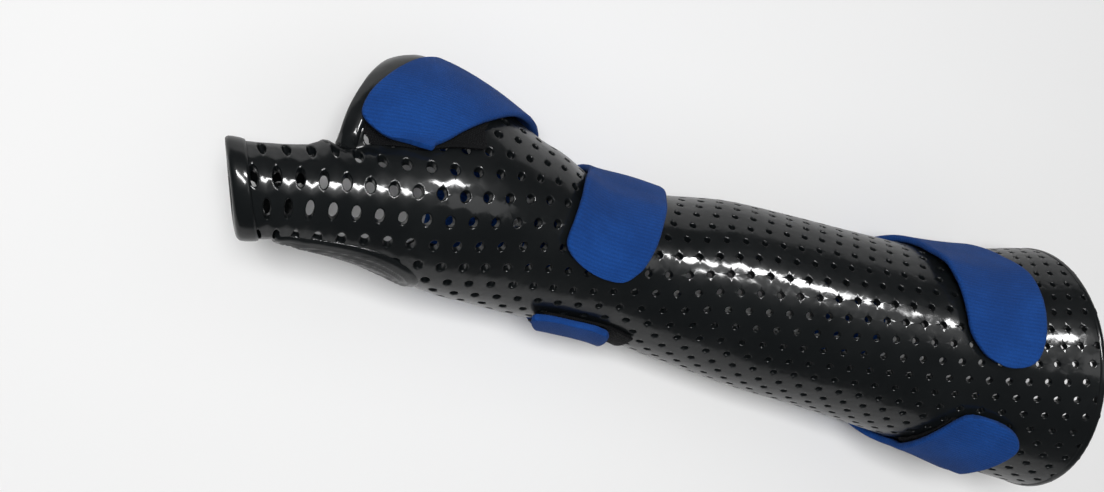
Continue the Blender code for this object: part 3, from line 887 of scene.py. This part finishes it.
# turn in degrees, middle x, lift, share of the width, how far the hand-side edge stands out
WRIST_PATH = [(-12.5, -0.5, OH, 0.20, 0), (-11, -1.8, OH, 0.42, 0), (-9, -3, OH, 0.62, 0), (-5, -4, OH, 0.82, 0),
              (0, -4, OH, 0.94, 0), (14, -2.6, OH, 1, 0), (31, -1.1, OH, 1.02, 0), (45, 0.2, OH, 1.04, 0),
              (60, 2.2, CL, 1, 0), (75, 4.0, CL, 0.98, 0), (90, 4.4, CL, 0.97, 0), (180, 1, CL, 0.96, 0),
              (262, 2, CL, 0.86, 0), (274, 1.2, OH, 0.84, 0), (298, -2.6, OH, 0.96, 0), (303.5, -3.4, OH, 0.90, 0),
              (306, -3.4, OH, 0.72, 0)]
FOREARM_PATH = [(0, 114.2, OH, 0.22, 0), (2, 114, OH, 0.42, 0), (6, 113.6, OH, 0.64, 0), (13, 112.6, OH, 0.82, 0),
                (22, 112, OH, 0.90, 1.0), (36, 111, OH, 0.96, 1.8), (51, 109.4, OH, 0.99, 2.2),
                (66, 107.2, CL, 0.92, 0.8), (80, 105.6, CL, 0.85, 0), (90, 104.4, CL, 0.84, 0), (130, 101, CL, 0.92, 0),
                (180, 102.5, CL, 0.96, 0), (235, 108.5, CL, 0.95, 0), (268, 114.2, CL, 0.88, 0),
                (279, 115.2, CL + 0.1, 0.86, 0), (287, 115.4, OH, 0.86, 0.3), (296, 115.5, OH, 0.87, 0.6), (310, 116.6, OH, 0.89, 0.7),
                (321, 117.7, OH, 0.85, 0), (327.5, 117.2, OH, 0.70, 0), (331, 116.2, OH, 0.50, 0),
                (332.6, 115.5, OH, 0.30, 0)]
HAND_PATH = [(1.6, -57.3, OH, 0.06, 0), (3.4, -58.8, OH, 0.20, 0), (6, -60.7, OH, 0.35, 0),
             (10, -61.9, OH, 0.55, 0), (15, -62.8, OH, 0.74, 0),
             (20, -62.6, OH, 0.84, 0), (31, -59.6, OH, 0.95, 0), (42, -55.5, OH, 1, 0), (60, -48.8, OH, 1, 0),
             (73, -43.8, CL + 0.8, 1, 0), (90, -38.6, CL, 1, 0), (120, -33, CL, 0.92, 0), (180, -30.5, CL, 0.84, 0),
             (212, -30, CL, 0.84, 0), (222, -30, OH, 0.84, 0), (250, -30, OH, 0.80, 0), (254, -30, OH, 0.60, 0)]

hand_strap = band_piece("hand_strap_cloth", "hand", HAND_PATH, HAND_STRAP_WIDTH, STRAP_THICK, floor=0.0, nose=0.5)
wrist_strap = band_piece("wrist_strap_cloth", "arm", WRIST_PATH, STRAP_WIDTH, STRAP_THICK, floor=0.0, taut=1.3)
forearm_strap = band_piece("forearm_strap_cloth", "arm", FOREARM_PATH, STRAP_WIDTH, STRAP_THICK, floor=0.0)
straps = [hand_strap, wrist_strap, forearm_strap]
for strap, node in zip(straps, ("hand_strap", "wrist_strap", "forearm_strap")):
    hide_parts(node)
    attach(strap, "root")

# form, width, and for each end: turn, middle x, share of the width
PATCHES = {
    # this patch is drawn longer and wider than the hook tape, toward the strap's tip: real hook tape, and beyond it a
    # dark sheet as painted shade under the strap's end, which also covers the holes there
    "hand_hook_back_side": ("hand", 29, (1.5, -64.5, 0.52), (6, -63.5, 0.60), (11, -62.6, 0.86), (17.5, -59.6, 1.15),
                            (32, -58.9, 1.09), (56, -50, 0.8)),
    "hand_hook_palm_side": ("hand", 19, (221, -30, 1), (249, -30, 1)),
    "wrist_hook_thumb_side": ("arm", 19, (-4, -3.5, 1), (46, 0, 1)),
    "wrist_hook_palm_side": ("arm", 28, (273, 2, 1), (305, 2, 1)),
    "forearm_hook_thumb_side": ("arm", 19, (8, 113, 1), (52, 108.5, 1)),
    "forearm_hook_palm_side": ("arm", 19, (288, 112.7, 1), (326, 116.8, 1)),
}
patches = []
for node, (kind, width, *route) in PATCHES.items():
    path = [(turn, x, CLEAR, share, 0) for turn, x, share in route]
    patch = band_piece(node + "_tape", kind, path, width, HOOK_THICK, steps=60, nose=1.2)
    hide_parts(node)
    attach(patch, "root")
    patches.append(patch)

# %% [markdown]
# ## Shared surface effects
#
# Small effects that more than one surface uses are built once as node groups: cloudy wear, and fine
# grain that also makes a small bump from its own height.

# %% Node helpers and shared effects


def link_nodes(tree, source, target):
    tree.links.new(source, target)


def add_node(tree, kind, at, **settings):
    node = tree.nodes.new(kind)
    node.location = at
    for name, value in settings.items():
        if hasattr(node, name):
            setattr(node, name, value)
        else:
            node.inputs[name].default_value = value
    return node


def math_node(tree, operation, at, a, b=None, clamp=False):
    node = add_node(tree, "ShaderNodeMath", at, operation=operation, use_clamp=clamp)
    for socket, value in zip(node.inputs, (a, b)):
        if value is None:
            continue
        if isinstance(value, (int, float)):
            socket.default_value = value
        else:
            tree.links.new(value, socket)
    return node.outputs[0]


def effect_group(name, inputs, outputs):
    """An empty node group with sockets; inputs are (name, kind, default)."""
    group = bpy.data.node_groups.new(name, "ShaderNodeTree")
    for label, kind, default in inputs:
        socket = group.interface.new_socket(label, in_out="INPUT", socket_type=kind)
        if default is not None:
            socket.default_value = default
    for label, kind in outputs:
        group.interface.new_socket(label, in_out="OUTPUT", socket_type=kind)
    start = group.nodes.new("NodeGroupInput")
    start.location = (-600, 0)
    end = group.nodes.new("NodeGroupOutput")
    end.location = (600, 0)
    return group, start, end


cloudy, start, end = effect_group(
    "cloudy_wear",
    [("Vector", "NodeSocketVector", None), ("Size", "NodeSocketFloat", 30.0), ("Low", "NodeSocketFloat", 0.4),
     ("High", "NodeSocketFloat", 0.65)],
    [("Mask", "NodeSocketFloat")])
clouds = add_node(cloudy, "ShaderNodeTexNoise", (-300, 0), Detail=5.0, Roughness=0.6)
link_nodes(cloudy, start.outputs["Vector"], clouds.inputs["Vector"])
link_nodes(cloudy, start.outputs["Size"], clouds.inputs["Scale"])
spread = add_node(cloudy, "ShaderNodeMapRange", (0, 0), interpolation_type="SMOOTHSTEP")
link_nodes(cloudy, clouds.outputs["Fac"], spread.inputs["Value"])
link_nodes(cloudy, start.outputs["Low"], spread.inputs["From Min"])
link_nodes(cloudy, start.outputs["High"], spread.inputs["From Max"])
link_nodes(cloudy, spread.outputs["Result"], end.inputs["Mask"])

grain, start, end = effect_group(
    "fine_grain",
    [("Vector", "NodeSocketVector", None), ("Size", "NodeSocketFloat", 2500.0), ("Strength", "NodeSocketFloat", 0.2),
     ("Normal", "NodeSocketVector", None)],
    [("Normal", "NodeSocketVector"), ("Value", "NodeSocketFloat")])
specks = add_node(grain, "ShaderNodeTexNoise", (-300, 0), Detail=3.0, Roughness=0.7)
link_nodes(grain, start.outputs["Vector"], specks.inputs["Vector"])
link_nodes(grain, start.outputs["Size"], specks.inputs["Scale"])
raised = add_node(grain, "ShaderNodeBump", (100, 0), Distance=0.0002)
link_nodes(grain, specks.outputs["Fac"], raised.inputs["Height"])
link_nodes(grain, start.outputs["Strength"], raised.inputs["Strength"])
link_nodes(grain, start.outputs["Normal"], raised.inputs["Normal"])
link_nodes(grain, raised.outputs["Normal"], end.inputs["Normal"])
link_nodes(grain, specks.outputs["Fac"], end.inputs["Value"])


def new_material(name):
    made = bpy.data.materials.new(name)
    made.use_nodes = True
    tree = made.node_tree
    shader = tree.nodes["Principled BSDF"]
    shader.location = (700, 0)
    tree.nodes["Material Output"].location = (1000, 0)
    return made, tree, shader


def use_group(tree, group, at, **settings):
    node = tree.nodes.new("ShaderNodeGroup")
    node.node_tree = group
    node.location = at
    for name, value in settings.items():
        node.inputs[name].default_value = value
    return node


# %% [markdown]
# ## Glossy black thermoplastic
#
# Stock sheet has a slick coating. It shines, but warm hands leave it slightly uneven, so highlights
# break up a little, and there is a faint bloom of handling marks.

# %% Thermoplastic
black_plastic, tree, shader = new_material("glossy_black_thermoplastic")
where = add_node(tree, "ShaderNodeTexCoord", (-1100, 0))
marks = use_group(tree, cloudy, (-800, 200), Size=45.0, Low=0.35, High=0.75)
link_nodes(tree, where.outputs["Object"], marks.inputs["Vector"])
tone = add_node(tree, "ShaderNodeMix", (-400, 300), data_type="RGBA")
tone.inputs["A"].default_value = (0.0040, 0.0050, 0.0056, 1.0)
tone.inputs["B"].default_value = (0.0062, 0.0074, 0.0080, 1.0)
link_nodes(tree, marks.outputs["Mask"], tone.inputs["Factor"])
link_nodes(tree, tone.outputs["Result"], shader.inputs["Base Color"])
shine = add_node(tree, "ShaderNodeMapRange", (-400, 0))
shine.inputs["To Min"].default_value = 0.32
shine.inputs["To Max"].default_value = 0.42
link_nodes(tree, marks.outputs["Mask"], shine.inputs["Value"])
link_nodes(tree, shine.outputs["Result"], shader.inputs["Roughness"])
waves = add_node(tree, "ShaderNodeTexNoise", (-800, -250), Scale=110.0, Detail=2.0, Roughness=0.5)
link_nodes(tree, where.outputs["Object"], waves.inputs["Vector"])
uneven = add_node(tree, "ShaderNodeBump", (-400, -250), Strength=0.35, Distance=0.0006)
link_nodes(tree, waves.outputs["Fac"], uneven.inputs["Height"])
fine = use_group(tree, grain, (-100, -250), Size=2600.0, Strength=0.08)
link_nodes(tree, where.outputs["Object"], fine.inputs["Vector"])
link_nodes(tree, uneven.outputs["Normal"], fine.inputs["Normal"])
link_nodes(tree, fine.outputs["Normal"], shader.inputs["Normal"])
shader.inputs["IOR"].default_value = 1.5
shader.inputs["Specular IOR Level"].default_value = 0.12
shader.inputs["Coat Roughness"].default_value = 0.11
facing = add_node(tree, "ShaderNodeLayerWeight", (-400, 600), Blend=0.5)
slick = add_node(tree, "ShaderNodeMapRange", (-100, 600), interpolation_type="SMOOTHSTEP")
slick.inputs["From Min"].default_value = 0.10
slick.inputs["From Max"].default_value = 0.60
slick.inputs["To Min"].default_value = 0.95
slick.inputs["To Max"].default_value = 0.22
link_nodes(tree, facing.outputs["Facing"], slick.inputs["Value"])
link_nodes(tree, slick.outputs["Result"], shader.inputs["Coat Weight"])
link_nodes(tree, uneven.outputs["Normal"], shader.inputs["Coat Normal"])
sheet.data.materials.clear()
sheet.data.materials.append(black_plastic)

# %% [markdown]
# ## Loop cloth
#
# Brushed loop cloth looks finely ribbed from close by: rows of tiny loops that run across the strap, drawn with a small
# bump and painted shade in the grooves between them.
# The face has a short nap that catches light at the edges.

# %% Strap cloth
strap_cloth, tree, shader = new_material("royal_blue_loop_cloth")
band_place = add_node(tree, "ShaderNodeAttribute", (-1400, 0), attribute_name="on_band")
parts = add_node(tree, "ShaderNodeSeparateXYZ", (-1200, 0))
link_nodes(tree, band_place.outputs["Vector"], parts.inputs["Vector"])
where = add_node(tree, "ShaderNodeTexCoord", (-1400, -400))
ribs = math_node(tree, "SINE", (-800, 100), math_node(tree, "MULTIPLY", (-1000, 100), parts.outputs["X"], 2.0 * math.pi / 1.0))
worn = use_group(tree, cloudy, (-1000, 400), Size=60.0, Low=0.38, High=0.7)
link_nodes(tree, where.outputs["Object"], worn.inputs["Vector"])
fuzz = use_group(tree, grain, (0, -250), Size=3200.0, Strength=0.8)
link_nodes(tree, where.outputs["Object"], fuzz.inputs["Vector"])
tone = add_node(tree, "ShaderNodeMix", (-300, 300), data_type="RGBA")
tone.inputs["A"].default_value = (0.0062, 0.046, 0.208, 1.0)
tone.inputs["B"].default_value = (0.0085, 0.061, 0.268, 1.0)
link_nodes(tree, worn.outputs["Mask"], tone.inputs["Factor"])
# painted shade: the valleys between the ribs are darkened in the colour
painted_rib_shade = add_node(tree, "ShaderNodeMapRange", (-500, 100))
painted_rib_shade.inputs["From Min"].default_value = -1.0
painted_rib_shade.inputs["To Min"].default_value = 0.84
painted_rib_shade.inputs["To Max"].default_value = 1.0
link_nodes(tree, ribs, painted_rib_shade.inputs["Value"])
fuzz_shade = add_node(tree, "ShaderNodeMapRange", (100, 100))
fuzz_shade.inputs["From Min"].default_value = 0.3
fuzz_shade.inputs["From Max"].default_value = 0.7
fuzz_shade.inputs["To Min"].default_value = 0.7
fuzz_shade.inputs["To Max"].default_value = 1.15
link_nodes(tree, fuzz.outputs["Value"], fuzz_shade.inputs["Value"])
dim = math_node(tree, "MULTIPLY", (250, 200), painted_rib_shade.outputs["Result"], fuzz_shade.outputs["Result"])
shaded = add_node(tree, "ShaderNodeMix", (450, 300), data_type="RGBA", blend_type="MULTIPLY", Factor=1.0)
link_nodes(tree, tone.outputs["Result"], shaded.inputs["A"])
link_nodes(tree, dim, shaded.inputs["B"])
link_nodes(tree, shaded.outputs["Result"], shader.inputs["Base Color"])
rib_bump = add_node(tree, "ShaderNodeBump", (-300, -250), Strength=0.4, Distance=0.00008)
link_nodes(tree, ribs, rib_bump.inputs["Height"])
link_nodes(tree, rib_bump.outputs["Normal"], fuzz.inputs["Normal"])
link_nodes(tree, fuzz.outputs["Normal"], shader.inputs["Normal"])
shader.inputs["Roughness"].default_value = 0.95
shader.inputs["Specular IOR Level"].default_value = 0.2
shader.inputs["Sheen Weight"].default_value = 0.05
shader.inputs["Sheen Roughness"].default_value = 0.5
shader.inputs["Sheen Tint"].default_value = (0.35, 0.5, 0.9, 1.0)
for strap in straps:
    strap.data.materials.append(strap_cloth)

# %% [markdown]
# ## Hook tape
#
# Hook tape is a black woven ground full of stiff little hooks. From arm's length it is a matt black
# patch with a rough, evenly pimpled face.

# %% Hook tape
hook_tape, tree, shader = new_material("black_hook_tape")
band_place = add_node(tree, "ShaderNodeAttribute", (-1200, 0), attribute_name="on_band")
hooks = add_node(tree, "ShaderNodeTexVoronoi", (-900, 0), Scale=1.6, Randomness=0.35)
link_nodes(tree, band_place.outputs["Vector"], hooks.inputs["Vector"])
spots = add_node(tree, "ShaderNodeMapRange", (-600, 0), interpolation_type="SMOOTHSTEP")
spots.inputs["From Min"].default_value = 0.15
spots.inputs["From Max"].default_value = 0.5
spots.inputs["To Min"].default_value = 1.0
spots.inputs["To Max"].default_value = 0.0
link_nodes(tree, hooks.outputs["Distance"], spots.inputs["Value"])
tone = add_node(tree, "ShaderNodeMix", (-200, 200), data_type="RGBA")
tone.inputs["A"].default_value = (0.002, 0.002, 0.0025, 1.0)
tone.inputs["B"].default_value = (0.010, 0.011, 0.012, 1.0)
link_nodes(tree, spots.outputs["Result"], tone.inputs["Factor"])
link_nodes(tree, tone.outputs["Result"], shader.inputs["Base Color"])
raised = add_node(tree, "ShaderNodeBump", (-200, -200), Strength=0.9, Distance=0.0004)
link_nodes(tree, spots.outputs["Result"], raised.inputs["Height"])
link_nodes(tree, raised.outputs["Normal"], shader.inputs["Normal"])
shader.inputs["Roughness"].default_value = 0.85
shader.inputs["Specular IOR Level"].default_value = 0.2
for patch in patches:
    patch.data.materials.append(hook_tape)

# %% [markdown]
# ## Floor, light and camera
#
# The splint lies on its straps on a pale floor. Two narrow softboxes over the side of the back of the hand make the
# bright streaks along the thumb tube and the forearm, and a faint broad one a weak sheen; these three show only in
# reflections. A light above, near the camera's line, and a large room light light the floor and straps but stay out of
# reflections. The camera looks down at the angle of the photo.

# %% Floor, light and camera
nothing_selected()
bpy.ops.mesh.primitive_plane_add(size=6.0, location=(0.0, 0.0, 0.0))
floor = bpy.context.object
floor.name = "floor"
pale, tree, shader = new_material("pale_floor")
shader.inputs["Base Color"].default_value = (0.80, 0.80, 0.80, 1.0)
shader.inputs["Roughness"].default_value = 0.9
shader.inputs["Specular IOR Level"].default_value = 0.1
floor.data.materials.append(pale)


def softbox(name, place, aim, size, power, slant=0.0):
    """An area light that faces a point; its long side runs along X, or slants to Y."""
    light = bpy.data.lights.new(name, "AREA")
    light.shape = "RECTANGLE"
    light.size, light.size_y = size
    light.energy = power
    lamp = bpy.data.objects.new(name, light)
    bpy.context.collection.objects.link(lamp)
    back = (Vector(place) - Vector(aim)).normalized()
    side = Vector((1.0, slant, 0.0))
    side = (side - side.dot(back) * back).normalized()
    up = back.cross(side)
    lamp.matrix_world = Matrix.Translation(place) @ Matrix((side, up, back)).transposed().to_4x4()
    return lamp


thumb_strip = softbox("thumb_strip", (-0.09, 0.57, 1.10), (0.0, 0.0, 0.03), (0.56, 0.11), 8.0, -0.67)
forearm_strip = softbox("forearm_strip", (0.235, 0.86, 1.10), (0.0, 0.0, 0.03), (0.20, 0.15), 4.8, -0.3)
faint_sheen = softbox("faint_sheen", (0.50, 0.30, 1.10), (0.0, 0.0, 0.03), (0.34, 0.42), 0.45)
for glint in (thumb_strip, forearm_strip, faint_sheen):
    glint.visible_diffuse = False
overhead = softbox("overhead", (-0.24, 0.07, 0.95), (0.0, 0.0, 0.03), (0.30, 0.22), 8.2)
overhead.visible_glossy = False
room = softbox("room", (0.0, 0.0, 3.0), (0.0, 0.0, 0.0), (5.0, 5.0), 40.0)
room.visible_glossy = False

world = bpy.data.worlds.new("studio")
bpy.context.scene.world = world
world.use_nodes = True
world.node_tree.nodes["Background"].inputs["Color"].default_value = (1.0, 1.0, 1.0, 1.0)
world.node_tree.nodes["Background"].inputs["Strength"].default_value = 0.06

TURN = math.radians(15.0)
ROLL = math.radians(15.5)
forward = np.array([math.sin(TURN), 0.0, -math.cos(TURN)])
level = np.array([math.cos(TURN), 0.0, math.sin(TURN)])
right = math.cos(ROLL) * level + math.sin(ROLL) * np.array([0.0, 1.0, 0.0])
upward = -math.sin(ROLL) * level + math.cos(ROLL) * np.array([0.0, 1.0, 0.0])
camera = bpy.data.objects.new("photo_camera", bpy.data.cameras.new("photo_camera"))
bpy.context.collection.objects.link(camera)
camera.data.lens = 45.65
camera.data.sensor_width = 36.0
camera.data.clip_start = 0.01
camera.matrix_world = (Matrix.Translation((-0.13596, -0.00384, 0.41875))
                       @ Matrix(np.stack([right, upward, -forward], axis=1).tolist()).to_4x4())
bpy.context.scene.camera = camera
bpy.context.scene.view_settings.view_transform = "Standard"
